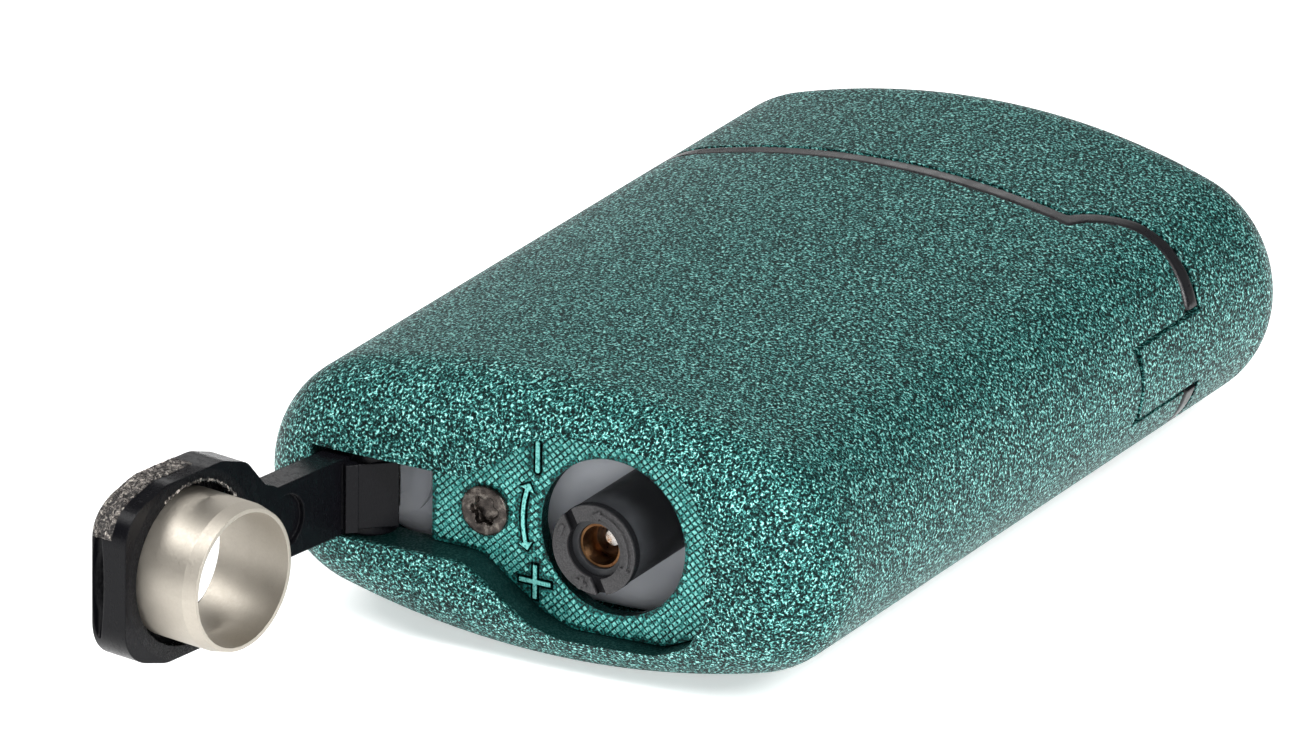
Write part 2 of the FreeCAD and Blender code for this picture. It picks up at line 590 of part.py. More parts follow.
keep(cylinder("punch_pin_rod", place(-P["pivot_x"], P["pivot_y"], -P["punch_pin_half"]),
              Radius="punch_pin_radius", Height="punch_pin_half * 2"), "punch_pin")
keep(cylinder("hinge_pin_rod", place(P["hinge_x"], P["hinge_y"], -P["hinge_pin_half"]),
              Radius="hinge_pin_radius", Height="hinge_pin_half * 2"), "lid_hinge_pin")
keep(box("leaf", place(-P["leaf_x"], P["leaf_y"], -P["leaf_half"]),
         Length="leaf_length", Width="leaf_thick", Height="leaf_half * 2"), "punch_detent_leaf")

# ---------- fuel tank with its cap ----------

tank_outer = oval_prism(P["tank_inset"], P["tank_y"], P["tank_y"] + P["tank_length"])
tank_foot = [e for e in tank_outer.Edges if abs(e.BoundBox.YMax - P["tank_y"]) < 1e-6]
tank_outer = tank_outer.makeFillet(P["tank_foot_round"], tank_foot)
tank_inner = oval_prism(P["tank_inset"] + P["tank_wall"], P["tank_y"] + P["tank_wall"],
                        P["tank_y"] + P["tank_length"] + 1.0)
valve_hole = Part.makeCylinder(P["valve_radius"], P["tank_y"] + P["tank_foot_round"],
                               vec(P["hole_x"], 0, 0), vec(0, 1, 0))
boss_at = vec(-P["boss_x"], P["boss_y"], -P["boss_z"])
boss = Part.makeCylinder(P["boss_radius"], P["tank_length"] / 2, boss_at, vec(0, 1, 0))
boss = boss.common(oval_prism(P["tank_inset"] + P["tank_wall"] / 2, 0.0, P["tank_cap_y"]))
dish = Part.makeCylinder(P["dish_radius"], P["dish_depth"], boss_at, vec(0, 1, 0))
tank_outer = tank_outer.fuse(boss).cut(dish)
add_solid("fuel_tank", tank_outer.cut(tank_inner).cut(valve_hole).removeSplitter())
cap = oval_prism(P["tank_cap_inset"], P["tank_cap_y"], P["tank_cap_y"] + P["tank_cap_thick"])
gas_hole = Part.makeCylinder(P["gas_radius"], 60.0, vec(-P["guard_x"], 0, 0), vec(0, 1, 0))
add_solid("tank_cap", cap)

# ---------- inner frame: carries the burner, the igniter and the bezel ----------

frame = oval_prism(P["frame_inset"], P["frame_y"], P["frame_top_y"])
frame = frame.cut(hinge_disc(P["frame_hinge_radius"], BIG))
plunger_way = block(P["piezo_right_x"] - 0.01, BIG, P["piezo_y"], 90.0, P["frame_slot_half"])
piezo_seat = block(-P["piezo_left_x"], P["piezo_right_x"], P["piezo_y"],
                   P["piezo_y"] + P["piezo_high"], P["piezo_half"])
burner_well = block(-P["guard_x"] - P["block_half_x"], -P["guard_x"] + P["block_half_x"],
                    P["block_y"], 90.0, P["block_half_z"])
for piece in (plunger_way, piezo_seat, burner_well, burner_hole.common(
        block(-BIG, BIG, P["guard_y"] - 0.1, 90.0, BIG)), gas_hole):
    frame = frame.cut(piece)
add_solid("inner_frame", max(frame.Solids, key=lambda s: s.Volume))

# ---------- igniter: housing, plunger and its coil ----------

piezo = box("piezo_block", place(-P["piezo_left_x"], P["piezo_y"], -P["piezo_half"]),
            Length="piezo_left_x + piezo_right_x", Width="piezo_high", Height="piezo_half * 2")
piezo_bore = cylinder("piezo_bore",
                      place(P["piezo_right_x"] - P["piezo_bore_depth"], P["plunger_y"], 0, ALONG_X),
                      Radius="piezo_bore_radius", Height="piezo_bore_depth + 1")
keep(cut("piezo_cut", piezo, [piezo_bore]), "igniter_body")
keep(cylinder("plunger_rod", place(P["plunger_left_x"], P["plunger_y"], 0, ALONG_X),
              Radius="plunger_radius", Height="plunger_right_x - plunger_left_x"),
     "igniter_plunger")
coil = cylinder("coil_outer", place(P["coil_left_x"], P["plunger_y"], 0, ALONG_X),
                Radius="coil_radius", Height="coil_length")
coil_core = cylinder("coil_core", place(P["coil_left_x"] - 1.0, P["plunger_y"], 0, ALONG_X),
                     Radius="coil_bore_radius", Height="coil_length + 2")
keep(cut("coil_cut", coil, [coil_core]), "igniter_spring")

# ---------- burner: block, guard, jets, gas tube and spark wire ----------

burner_block = box("burner_box", place(-P["guard_x"] - P["block_half_x"], P["block_y"],
                                       -P["block_half_z"]),
                   Length="block_half_x * 2", Width="block_high", Height="block_half_z * 2")
burner_gas_hole = cylinder("burner_gas_hole", place(-P["guard_x"], P["block_y"] - 1.0, 0, ALONG_Y),
                           Radius="gas_radius", Height="block_high + 2")
keep(cut("burner_cut", burner_block, [burner_gas_hole]), "burner_block")


def stadium(half_z, y_low, y_high):
    """Upright prism with round ends, centred on the burner."""
    half_x = P["guard_length"] / 2
    solid = block(-P["guard_x"] - half_x, -P["guard_x"] + half_x, y_low, y_high, half_z)
    for x in (-P["guard_x"] - half_x, -P["guard_x"] + half_x):
        at = vec(x, y_low, 0)
        solid = solid.fuse(Part.makeCylinder(half_z, y_high - y_low, at, vec(0, 1, 0)))
    return solid


guard = stadium(P["guard_half"], P["guard_y"], P["guard_top_y"])
guard_inside = stadium(P["guard_half"] - P["guard_wall"], P["guard_y"] - 1.0,
                       P["guard_top_y"] + 1.0)
add_solid("burner_guard", guard.cut(guard_inside).removeSplitter())
for i in (-1, 0, 1):
    x = -P["guard_x"] + i * P["jet_pitch"]
    jet = cylinder("jet_rod_%d" % (i + 2), place(x, P["jet_y"], 0, ALONG_Y),
                   Radius="jet_radius", Height="jet_top_y - jet_y")
    jet_bore = cylinder("jet_bore_%d" % (i + 2),
                        place(x, P["jet_top_y"] - P["jet_bore_depth"], 0, ALONG_Y),
                        Radius="jet_bore_radius", Height="jet_bore_depth + 1")
    keep(cut("jet_cut_%d" % (i + 2), jet, [jet_bore]), "jet_nozzle_%d" % (i + 2))
keep(cylinder("gas_rod", place(-P["guard_x"], P["gas_y"], 0, ALONG_Y),
              Radius="gas_radius", Height="gas_length + 6"), "gas_tube")
keep(cylinder("wire_rod", place(-P["guard_x"] + P["wire_offset"], P["jet_y"], P["wire_z"],
                                ALONG_Y),
              Radius="wire_radius", Height="wire_top_y - jet_y"), "spark_wire")

# ---------- check and export ----------

doc.recompute()
for obj in doc.Objects:
    bad = [state for state in obj.State if state in ("Invalid", "Error")]
    assert not bad, "%s is %s" % (obj.Name, bad)
os.makedirs("parts", exist_ok=True)
for obj in nodes:
    shape = obj.Shape
    assert not shape.isNull() and shape.isValid(), obj.Label + " has no valid shape"
    assert len(shape.Solids) == 1, "%s has %d solids" % (obj.Label, len(shape.Solids))
    shape.exportStep("parts/%s.step" % obj.Label)
    size = shape.BoundBox
    print("%-22s %9.2f mm3  x %.2f..%.2f  y %.2f..%.2f  z %.2f..%.2f" % (
        obj.Label, shape.Volume, size.XMin, size.XMax, size.YMin, size.YMax,
        size.ZMin, size.ZMax))
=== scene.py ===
import json
import math
import random

import bmesh
import bpy
from mathutils import Matrix, Vector
from mathutils.bvhtree import BVHTree


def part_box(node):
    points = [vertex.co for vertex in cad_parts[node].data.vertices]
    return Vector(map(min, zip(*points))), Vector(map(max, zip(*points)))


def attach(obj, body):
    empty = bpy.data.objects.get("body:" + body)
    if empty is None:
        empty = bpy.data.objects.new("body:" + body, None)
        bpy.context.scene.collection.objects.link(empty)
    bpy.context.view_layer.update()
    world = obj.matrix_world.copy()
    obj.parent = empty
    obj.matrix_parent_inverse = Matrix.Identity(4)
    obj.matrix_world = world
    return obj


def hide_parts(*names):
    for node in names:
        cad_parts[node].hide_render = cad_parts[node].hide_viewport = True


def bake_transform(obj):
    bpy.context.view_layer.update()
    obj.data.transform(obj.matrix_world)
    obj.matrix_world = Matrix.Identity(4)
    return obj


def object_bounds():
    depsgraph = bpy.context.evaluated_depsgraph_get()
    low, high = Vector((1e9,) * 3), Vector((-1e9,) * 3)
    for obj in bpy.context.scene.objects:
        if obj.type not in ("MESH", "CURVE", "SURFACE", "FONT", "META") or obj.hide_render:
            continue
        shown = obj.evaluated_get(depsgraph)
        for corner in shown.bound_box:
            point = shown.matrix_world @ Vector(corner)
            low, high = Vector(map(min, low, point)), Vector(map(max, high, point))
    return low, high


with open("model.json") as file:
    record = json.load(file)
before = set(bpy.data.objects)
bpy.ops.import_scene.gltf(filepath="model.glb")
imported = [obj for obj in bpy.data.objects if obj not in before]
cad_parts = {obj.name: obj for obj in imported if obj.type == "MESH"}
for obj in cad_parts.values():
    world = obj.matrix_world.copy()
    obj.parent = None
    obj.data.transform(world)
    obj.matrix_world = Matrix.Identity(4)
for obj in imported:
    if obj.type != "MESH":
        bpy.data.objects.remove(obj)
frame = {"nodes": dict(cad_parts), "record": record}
CAD_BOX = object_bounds()

# A torch lighter lying on its back. +Z is up, +Y runs from the base to the lid, +X is the
# hinge side. Lengths below are millimetres, turned into metres with MM.
MM = 0.001
NODES = frame["nodes"]
JOINTS = {joint["name"]: joint for joint in frame["record"]["behaviour"]["joints"]}
MOUNTS = {mount["name"]: mount for mount in frame["record"]["mounts"]}


# ---------- places read from the frame ----------

def middle(node):
    low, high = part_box(node)
    return (low + high) / 2


PLATE_FACE_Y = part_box("base_plate")[0].y
RING_FACE_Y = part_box("adjuster_ring")[0].y
RECESS_RIM_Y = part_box("body_shell")[0].y
RECESS_FLOOR_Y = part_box("base_plate")[1].y
ADJUSTER = middle("adjuster_ring")
MID_Z = ADJUSTER.z
PIVOT = Vector(JOINTS["punch_swing"]["pos_m"])
TUBE_AXIS = Vector(MOUNTS["punch_bore"]["axis"])
TUBE_MIDDLE = Vector(MOUNTS["punch_bore"]["pos_m"])
ARM_ALONG = Vector((-TUBE_AXIS.y, TUBE_AXIS.x, 0.0))
if ARM_ALONG.dot(TUBE_MIDDLE - PIVOT) < 0:
    ARM_ALONG.negate()


# ---------- materials ----------

class Look:
    """A node material, built with short calls."""

    def __init__(self, name, **sockets):
        self.material = bpy.data.materials.new(name)
        self.material.use_nodes = True
        self.tree = self.material.node_tree
        self.shader = self.tree.nodes["Principled BSDF"]
        self.place = self.add("ShaderNodeTexCoord").outputs["Object"]
        # noise is weak in the planes of its own grid, so the grid is tilted off every face
        self.tilted = self.add("ShaderNodeMapping", {
            "Vector": self.place, "Rotation": (0.6, 0.45, 0.9)}).outputs["Vector"]
        for socket, value in sockets.items():
            self.shader.inputs[socket.replace("_", " ")].default_value = value

    def add(self, kind, inputs=None, **settings):
        """Adds a node. inputs maps a socket's name or number to a value or to another socket."""
        node = self.tree.nodes.new(kind)
        for name, value in settings.items():
            setattr(node, name, value)
        for key, value in (inputs or {}).items():
            if isinstance(value, bpy.types.NodeSocket):
                self.tree.links.new(value, node.inputs[key])
            else:
                node.inputs[key].default_value = value
        return node

    def feed(self, socket, output):
        self.tree.links.new(output, self.shader.inputs[socket])

    def noise(self, size_mm, detail=2.0, roughness=0.5, distortion=0.0, place=None):
        """Noise whose features are about size_mm across."""
        scale = 1.0 / (size_mm * MM)
        node = self.add("ShaderNodeTexNoise", {
            "Vector": place or self.tilted, "Scale": scale, "Detail": detail,
            "Roughness": roughness, "Distortion": distortion})
        return node.outputs["Fac"]

    def along(self, axis, size_mm, detail=3.0):
        """Noise that changes only along an axis, as turned or drawn lines do."""
        distance = self.add("ShaderNodeVectorMath", {0: self.place, 1: axis},
                            operation="DOT_PRODUCT")
        node = self.add("ShaderNodeTexNoise", {
            "W": distance.outputs["Value"], "Scale": 1.0 / (size_mm * MM),
            "Detail": detail, "Roughness": 0.6}, noise_dimensions="1D")
        return node.outputs["Fac"]

    def stretch(self, scale):
        """The object's place, scaled unevenly, for streaks."""
        node = self.add("ShaderNodeVectorMath", {0: self.place, 1: scale},
                        operation="MULTIPLY")
        return node.outputs["Vector"]

    def span(self, value, low, high, to_low=0.0, to_high=1.0):
        """value from low..high to to_low..to_high, held inside that range."""
        node = self.add("ShaderNodeMapRange", {
            "Value": value, "From Min": low, "From Max": high,
            "To Min": to_low, "To Max": to_high})
        return node.outputs["Result"]

    def ramp(self, value, stops):
        """Colours at positions along value."""
        node = self.add("ShaderNodeValToRGB", {"Fac": value})
        elements = node.color_ramp.elements
        while len(elements) < len(stops):
            elements.new(0.5)
        for element, (position, color) in zip(elements, stops):
            element.position = position
            element.color = (*color, 1.0)
        return node.outputs["Color"]

    def math(self, operation, a, b):
        return self.add("ShaderNodeMath", {0: a, 1: b}, operation=operation).outputs["Value"]

    def bump(self, height, depth_mm, normal=None, strength=1.0):
        inputs = {"Height": height, "Distance": depth_mm * MM, "Strength": strength}
        if normal:
            inputs["Normal"] = normal
        return self.add("ShaderNodeBump", inputs).outputs["Normal"]

    def soft_edge(self, radius_mm):
        """A normal that rounds off sharp edges."""
        node = self.add("ShaderNodeBevel", {"Radius": radius_mm * MM}, samples=6)
        return node.outputs["Normal"]


def recess_wall_shade_mask(look):
    """Mask for painted shade: 1 on the walls that face inwards in the base's recess, 0 elsewhere.
    """
    depth = look.add("ShaderNodeSeparateXYZ", {0: look.place}).outputs["Y"]
    below_rim = look.span(depth, RECESS_RIM_Y + 0.1 * MM, RECESS_RIM_Y + 0.5 * MM)
    above_cavity = look.span(depth, RECESS_FLOOR_Y + 2.5 * MM, RECESS_FLOOR_Y + 3.0 * MM, 1.0, 0.0)
    spot = look.add("ShaderNodeVectorMath", {0: look.place, 1: (0.0, 0.0, MID_Z)},
                    operation="SUBTRACT").outputs["Vector"]
    outward = look.add("ShaderNodeVectorMath", {0: spot, 1: (1.0, 0.0, 1.0)},
                       operation="MULTIPLY").outputs["Vector"]
    normal = look.add("ShaderNodeNewGeometry").outputs["Normal"]
    lean = look.add("ShaderNodeVectorMath", {0: outward, 1: normal},
                    operation="DOT_PRODUCT").outputs["Value"]
    faces_in = look.span(lean, -1.2 * MM, -0.4 * MM, 1.0, 0.0)
    return look.math("MULTIPLY", look.math("MULTIPLY", below_rim, above_cavity), faces_in)


def make_paint():
    """Crinkle-textured metallic enamel with painted glints and pit shade in its grain, darkened by
    painted shade and smooth on the recess walls.
    """
    look = Look("teal_crinkle_paint_look", Metallic=0.50)
    grain = look.noise(0.17, detail=2.0, roughness=0.55, distortion=0.5)
    # grain tone with painted light: the darkest stops paint shade in the crinkle's pits, the
    # brightest paint glints on its crests
    speckle_glints_and_pit_shade = look.ramp(grain, [
        (0.41, (0.0006, 0.006, 0.006)),
        (0.50, (0.003, 0.038, 0.036)),
        (0.57, (0.010, 0.150, 0.136)),
        (0.62, (0.120, 0.500, 0.455)),
        (0.68, (0.420, 0.800, 0.750)),
    ])
    # painted shade: the recess walls are coloured near-black teal, for the shade under the body's
    # overhang
    wall_shade = recess_wall_shade_mask(look)
    color = look.add("ShaderNodeMix", {0: wall_shade, 6: speckle_glints_and_pit_shade, 7: (0.002, 0.020, 0.019, 1.0)},
                     data_type="RGBA")
    look.feed("Base Color", color.outputs[2])
    crest = look.span(grain, 0.45, 0.62)
    look.feed("Specular IOR Level", look.span(crest, 0.0, 1.0, 0.15, 1.0))
    look.feed("Roughness", look.span(crest, 0.0, 1.0, 0.55, 0.30))
    relief = look.math("MULTIPLY", grain, look.span(wall_shade, 0.0, 1.0, 1.0, 0.15))
    look.feed("Normal", look.bump(relief, 0.15, look.soft_edge(0.10)))
    return look.material


def make_plate_paint():
    """The same enamel on the base plate, with painted light by depth: painted highlight on pads
    and marks, painted shade down in the moats and grooves.
    """
    look = Look("plate_paint_look", Metallic=0.45)
    grain = look.noise(0.15, detail=2.0, roughness=0.5)
    depth = look.add("ShaderNodeSeparateXYZ", {0: look.place}).outputs["Y"]
    height = look.span(depth, PLATE_FACE_Y + 0.03 * MM, PLATE_FACE_Y - 0.07 * MM)
    # painted shade and highlight: colour darkens with depth below the plate's face and lightens on
    # what stands proud, plus random grain tone
    grain_and_depth_shade = look.math("ADD", height, look.span(grain, 0.35, 0.65, -0.30, 0.30))
    look.feed("Base Color", look.ramp(grain_and_depth_shade, [
        (0.08, (0.001, 0.008, 0.008)),
        (0.30, (0.004, 0.045, 0.042)),
        (0.70, (0.028, 0.260, 0.236)),
        (1.00, (0.190, 0.600, 0.550)),
    ]))
    look.feed("Specular IOR Level", look.span(height, 0.0, 1.0, 0.1, 0.8))
    look.feed("Roughness", look.span(grain, 0.3, 0.7, 0.46, 0.32))
    look.feed("Normal", look.bump(grain, 0.04))
    return look.material


def make_black_cast():
    """Black coated casting: fine skin, scuffs, and a torn surface round the tube's seat."""
    look = Look("black_cast_look", Base_Color=(0.003, 0.003, 0.004, 1), Specular_IOR_Level=0.11)
    skin = look.noise(0.09, detail=3.0, roughness=0.6)
    scuff = look.noise(0.5, detail=5.0, roughness=0.7, place=look.stretch((1.0, 1.0, 0.35)))
    from_axis = look.add("ShaderNodeVectorMath", {0: look.place, 1: tuple(TUBE_MIDDLE)},
                         operation="SUBTRACT").outputs["Vector"]
    around = look.add("ShaderNodeVectorMath", {0: from_axis, 1: tuple(TUBE_AXIS)},
                      operation="CROSS_PRODUCT").outputs["Vector"]
    radius = look.add("ShaderNodeVectorMath", {0: around}, operation="LENGTH").outputs["Value"]
    near = look.span(radius, 5.1 * MM, 6.0 * MM, 1.0, 0.0)
    torn = look.noise(0.28, detail=4.0, roughness=0.8, distortion=1.5)
    rough_height = look.math("MULTIPLY", look.math("MULTIPLY", torn, near), 3.0)
    look.feed("Roughness", look.span(scuff, 0.35, 0.7, 0.18, 0.34))
    skin_normal = look.bump(skin, 0.012, look.soft_edge(0.12))
    look.feed("Normal", look.bump(rough_height, 0.10, skin_normal))
    return look.material


def make_torn_edge():
    """Ground-off casting skirt, black with bare metal chips whose brightest colour is partly
    painted glints.
    """
    look = Look("torn_edge_look", Metallic=0.4, Specular_IOR_Level=0.7)
    chips_and_glints = look.noise(0.30, detail=5.0, roughness=0.75, distortion=1.0)
    # bare metal chips in the black coat, with painted glints in the brightest stop
    look.feed("Base Color", look.ramp(chips_and_glints, [
        (0.44, (0.010, 0.009, 0.009)),
        (0.54, (0.070, 0.060, 0.054)),
        (0.64, (0.620, 0.570, 0.510)),
    ]))
    look.feed("Roughness", look.span(chips_and_glints, 0.4, 0.7, 0.22, 0.40))
    look.feed("Normal", look.bump(chips_and_glints, 0.14))
    return look.material


def make_punch_steel():
    """Turned stainless steel, warm, with fine rings and lengthwise drag marks."""
    look = Look("punch_steel_look", Metallic=1.0, Anisotropic=0.5)
    rings = look.along(tuple(TUBE_AXIS), 0.10)
    grain = look.noise(0.18, detail=3.0, roughness=0.7)
    stain = look.noise(2.2, detail=3.0, roughness=0.6)
    look.feed("Base Color", look.ramp(look.math("MULTIPLY_ADD", stain, 0.6), [
        (0.15, (0.35, 0.315, 0.265)),
        (0.45, (0.45, 0.415, 0.360)),
    ]))
    look.feed("Roughness", look.span(grain, 0.3, 0.7, 0.46, 0.60))
    height = look.math("ADD", rings, look.math("MULTIPLY", grain, 0.4))
    look.feed("Normal", look.bump(height, 0.006, look.soft_edge(0.06)))
    return look.material


def make_turned_brass():
    look = Look("valve_brass_look", Metallic=1.0)
    rings = look.along((0.0, 1.0, 0.0), 0.12)
    bore_shade_patches = look.noise(0.9, detail=3.0)
    # dark brown all over: painted shade for the brass down in the valve's bore, with patchy tone
    # on top
    look.feed("Base Color", look.ramp(bore_shade_patches, [
        (0.35, (0.08, 0.036, 0.016)),
        (0.60, (0.19, 0.100, 0.045)),
    ]))
    look.feed("Roughness", look.span(bore_shade_patches, 0.3, 0.7, 0.26, 0.42))
    look.feed("Normal", look.bump(rings, 0.012))
    return look.material


def make_bright_steel():
    look = Look("steel_look", Metallic=1.0, Base_Color=(0.60, 0.59, 0.57, 1))
    streaks = look.noise(0.2, detail=4.0, place=look.stretch((1.0, 0.12, 1.0)))
    look.feed("Roughness", look.span(streaks, 0.3, 0.7, 0.16, 0.34))
    look.feed("Normal", look.bump(streaks, 0.004))
    return look.material


def make_black_screw():
    """Blackened steel, rubbed bright on its rim."""
    look = Look("black_screw_look", Metallic=0.9)
    rub = look.noise(0.7, detail=3.0, roughness=0.6)
    look.feed("Base Color", look.ramp(rub, [
        (0.35, (0.020, 0.017, 0.016)),
        (0.55, (0.070, 0.060, 0.054)),
        (0.72, (0.240, 0.215, 0.190)),
    ]))
    look.feed("Roughness", look.span(rub, 0.35, 0.7, 0.18, 0.34))
    look.feed("Normal", look.bump(rub, 0.03, look.soft_edge(0.18)))
    return look.material


def make_black_plastic():
    """Moulded black plastic with a fine spark-eroded skin."""
    look = Look("black_plastic_look", Specular_IOR_Level=0.35)
    skin = look.noise(0.07, detail=2.0)
    cloud = look.noise(1.4, detail=3.0)
    look.feed("Base Color", look.ramp(cloud, [
        (0.3, (0.016, 0.017, 0.019)),
        (0.7, (0.026, 0.027, 0.030)),
    ]))
    look.feed("Roughness", look.span(cloud, 0.3, 0.7, 0.36, 0.50))
    look.feed("Normal", look.bump(skin, 0.008, look.soft_edge(0.05)))
    return look.material


def make_adjuster_plastic():
    """Matt moulded plastic, with painted shade: near-black down in its groove and bore, greyer on
    the ring's face.
    """
    look = Look("adjuster_ring_look")
    skin = look.noise(0.11, detail=3.0, roughness=0.6)
    face = look.ramp(skin, [
        (0.35, (0.010, 0.010, 0.011)),
        (0.70, (0.046, 0.044, 0.046)),
    ])
    # painted shade: colour goes near-black and less shiny with depth below the ring's face
    depth = look.add("ShaderNodeSeparateXYZ", {0: look.place}).outputs["Y"]
    below_face_shade = look.span(depth, RING_FACE_Y + 0.05 * MM, RING_FACE_Y + 0.25 * MM)
    color = look.add("ShaderNodeMix", {0: below_face_shade, 6: face, 7: (0.006, 0.006, 0.007, 1.0)},
                     data_type="RGBA")
    look.feed("Base Color", color.outputs[2])
    look.feed("Specular IOR Level", look.span(below_face_shade, 0.0, 1.0, 0.40, 0.08))
    look.feed("Roughness", look.span(skin, 0.3, 0.7, 0.42, 0.60))
    look.feed("Normal", look.bump(skin, 0.035, look.soft_edge(0.10)))
    return look.material


def make_gloss_bezel():
    look = Look("bezel_black_look", Base_Color=(0.006, 0.006, 0.007, 1), Specular_IOR_Level=0.30)
    ripple = look.noise(0.8, detail=3.0)
    look.feed("Roughness", look.span(ripple, 0.3, 0.7, 0.22, 0.34))
    look.feed("Normal", look.bump(ripple, 0.012, look.soft_edge(0.40)))
    return look.material


def make_tank_plastic():
    """Milky blue-grey moulded plastic."""
    look = Look("tank_plastic_look", Subsurface_Weight=0.35, Subsurface_Scale=0.0012,
                Specular_IOR_Level=0.45)
    look.shader.inputs["Subsurface Radius"].default_value = (1.0, 1.0, 1.1)
    cloud = look.noise(4.0, detail=2.0)
    skin = look.noise(0.5, detail=2.0)
    look.feed("Base Color", look.ramp(cloud, [
        (0.3, (0.680, 0.710, 0.770)),
        (0.7, (0.760, 0.785, 0.840)),
    ]))
    look.feed("Roughness", look.span(skin, 0.3, 0.7, 0.30, 0.42))
    look.feed("Normal", look.bump(skin, 0.006))
    return look.material


def make_floor_look():
    look = Look("floor_look", Roughness=0.9, Specular_IOR_Level=0.1, Emission_Strength=0.45)
    look.shader.inputs["Emission Color"].default_value = (1.0, 1.0, 1.0, 1.0)
    cloud = look.noise(120.0, detail=1.0)
    look.feed("Base Color", look.ramp(cloud, [
        (0.3, (0.90, 0.90, 0.90)),
        (0.7, (0.93, 0.93, 0.93)),
    ]))
    return look.material


LOOKS = {
    "teal_crinkle_paint": make_paint(),
    "plate_paint": make_plate_paint(),
    "black_cast": make_black_cast(),
    "punch_steel": make_punch_steel(),
    "black_screw": make_black_screw(),
    "steel": make_bright_steel(),
    "black_plastic": make_black_plastic(),
    "bezel_black": make_gloss_bezel(),
    "valve_brass": make_turned_brass(),
    "tank_plastic": make_tank_plastic(),
    "burner_steel": make_bright_steel(),
    "adjuster_plastic": make_adjuster_plastic(),
    "torn_edge": make_torn_edge(),
}


def dress(obj, look):
    obj.data.materials.clear()
    obj.data.materials.append(LOOKS[look])


for part in frame["record"]["subparts"]:
    dress(NODES[part["node"]], part["material_slot"])
dress(NODES["adjuster_ring"], "adjuster_plastic")


# ---------- helpers for the pieces made here ----------

def mesh_of(bm, name):
    """Turns a finished bmesh into a mesh, with its normals outward."""
    bmesh.ops.recalc_face_normals(bm, faces=bm.faces)
    mesh = bpy.data.meshes.new(name)
    bm.to_mesh(mesh)
    bm.free()
    return mesh


def ray_tree(obj):
    """Search tree for rays cast on an object's mesh."""
    return BVHTree.FromPolygons([v.co for v in obj.data.vertices],
                                [p.vertices for p in obj.data.polygons])


def add_prism(bm, outline, y_front, y_back):
    """Closed prism along Y over an outline of (x, z) points."""
    front = [bm.verts.new((x, y_front, z)) for x, z in outline]
    back = [bm.verts.new((x, y_back, z)) for x, z in outline]
    bm.faces.new(front)
    bm.faces.new(back[::-1])
    for i in range(len(outline)):
        j = (i + 1) % len(outline)
        bm.faces.new((front[j], front[i], back[i], back[j]))


def add_rope(bm, loops):
    """Skin over a row of closed loops, with a cap at each end."""
    around = len(loops[0])
    for first, second in zip(loops, loops[1:]):
        for k in range(around):
            j = (k + 1) % around
            bm.faces.new((first[k], first[j], second[j], second[k]))
    bm.faces.new(loops[0][::-1])
    bm.faces.new(loops[-1])


def new_piece(name, mesh, body, slot, look=None):
    """Puts a mesh in the scene as a piece of a body."""
    obj = bpy.data.objects.new(name, mesh)
    bpy.context.scene.collection.objects.link(obj)
    dress(obj, look or slot)
    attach(obj, body)
    return obj


def round_edges(obj, width_mm, segments=2):
    bevel = obj.modifiers.new("round_edges", "BEVEL")
    bevel.width = width_mm * MM
    bevel.segments = segments
    bevel.limit_method = "ANGLE"


def slab(name, outline, face_y, proud_mm, sunk_mm, body, slot, look):
    """Raised mark over an outline in metres, standing proud of a face towards -Y."""
    bm = bmesh.new()
    add_prism(bm, outline, face_y - proud_mm * MM, face_y + sunk_mm * MM)
    return new_piece(name, mesh_of(bm, name), body, slot, look)


def bar_outline(centre, half_long, half_wide, angle, rounded=6):
    """Bar with round ends, as (x, z) points."""
    points = []
    for side, start in ((1, -90), (-1, 90)):
        for i in range(rounded + 1):
            turn = math.radians(start + 180 * i / rounded)
            points.append((side * (half_long - half_wide) + half_wide * math.cos(turn),
                           half_wide * math.sin(turn)))
    c, s = math.cos(angle), math.sin(angle)
    return [(centre[0] + c * a - s * b, centre[1] + s * a + c * b) for a, b in points]


def plus_outline(centre, half_long, half_wide, angle):
    """Cross with square ends, as (x, z) points."""
    arm = [(half_wide, half_wide), (half_wide, half_long), (-half_wide, half_long)]
    points = []
    for quarter in range(4):
        turn = math.radians(90 * quarter) + angle
        c, s = math.cos(turn), math.sin(turn)
        points += [(centre[0] + c * a - s * b, centre[1] + s * a + c * b) for a, b in arm]
    return points


def curved_arrow_outline(centre, radius, start, end, half_wide, head_long, head_half, steps=14):
    """Double-headed arrow bent round a centre, from start to end in degrees."""
    def at(r, degrees):
        turn = math.radians(degrees)
        return (centre[0] + r * math.cos(turn), centre[1] + r * math.sin(turn))

    head = math.degrees(head_long / radius)
    low, high = start + head, end - head
    spread = [low + (high - low) * i / steps for i in range(steps + 1)]
    outer = [at(radius + half_wide, a) for a in spread]
    inner = [at(radius - half_wide, a) for a in reversed(spread)]
    tip_end = [at(radius + head_half, high), at(radius, end), at(radius - head_half, high)]
    tip_start = [at(radius - head_half, low), at(radius, start), at(radius + head_half, low)]
    return outer + tip_end + inner + tip_start


def to_metres(*values):
    return [value * MM for value in values]


# ---------- base plate: moats, raised marks and cross-hatching ----------

MARK_PROUD = 0.08
MOAT_DEEP = 0.30
minus_at = (ADJUSTER.x - 5.28 * MM, MID_Z + 4.15 * MM)
plus_at = (ADJUSTER.x - 5.40 * MM, MID_Z - 4.00 * MM)


